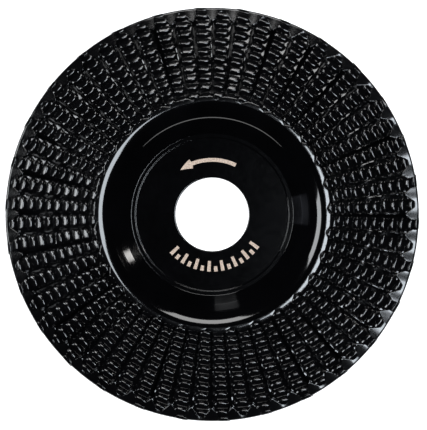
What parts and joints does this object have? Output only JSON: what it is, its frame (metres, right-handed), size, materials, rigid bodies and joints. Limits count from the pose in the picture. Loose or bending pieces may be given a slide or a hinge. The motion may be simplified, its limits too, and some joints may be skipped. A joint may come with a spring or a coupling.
{
  "type": "grinder rasp disc",
  "caption": "Dished steel rasp disc with a plain centre bore and alternate short and long radial rows of pointed teeth on a sloping band, for shaping wood with an angle grinder.",
  "frame": {"origin": "centre of the bore on the hub's back face, which is the lowest face", "axes": "+Z along the spindle axis towards the work, +X and +Y across the disc"},
  "size_m": [0.125, 0.125, 0.0079],
  "materials": {
    "body_coating": "gloss black coating on pressed steel",
    "tooth_coating": "gloss black coating on sharp raised teeth",
    "etched_mark": "pale copper coloured laser marking"
  },
  "bodies": {
    "root": {"hub_dish": "body_coating", "band_plate": "body_coating", "tooth_row_pair_01": "tooth_coating", "tooth_row_pair_02": "tooth_coating", "tooth_row_pair_03": "tooth_coating", "tooth_row_pair_04": "tooth_coating", "tooth_row_pair_05": "tooth_coating", "tooth_row_pair_06": "tooth_coating", "tooth_row_pair_07": "tooth_coating", "tooth_row_pair_08": "tooth_coating", "tooth_row_pair_09": "tooth_coating", "tooth_row_pair_10": "tooth_coating", "tooth_row_pair_11": "tooth_coating", "tooth_row_pair_12": "tooth_coating", "tooth_row_pair_13": "tooth_coating", "tooth_row_pair_14": "tooth_coating", "tooth_row_pair_15": "tooth_coating", "tooth_row_pair_16": "tooth_coating", "tooth_row_pair_17": "tooth_coating", "tooth_row_pair_18": "tooth_coating", "tooth_row_pair_19": "tooth_coating", "tooth_row_pair_20": "tooth_coating", "tooth_row_pair_21": "tooth_coating", "tooth_row_pair_22": "tooth_coating", "tooth_row_pair_23": "tooth_coating", "tooth_row_pair_24": "tooth_coating", "tooth_row_pair_25": "tooth_coating", "tooth_row_pair_26": "tooth_coating", "tooth_row_pair_27": "tooth_coating", "tooth_row_pair_28": "tooth_coating", "tooth_row_pair_29": "tooth_coating", "tooth_row_pair_30": "tooth_coating"}
  },
  "joints": []
}
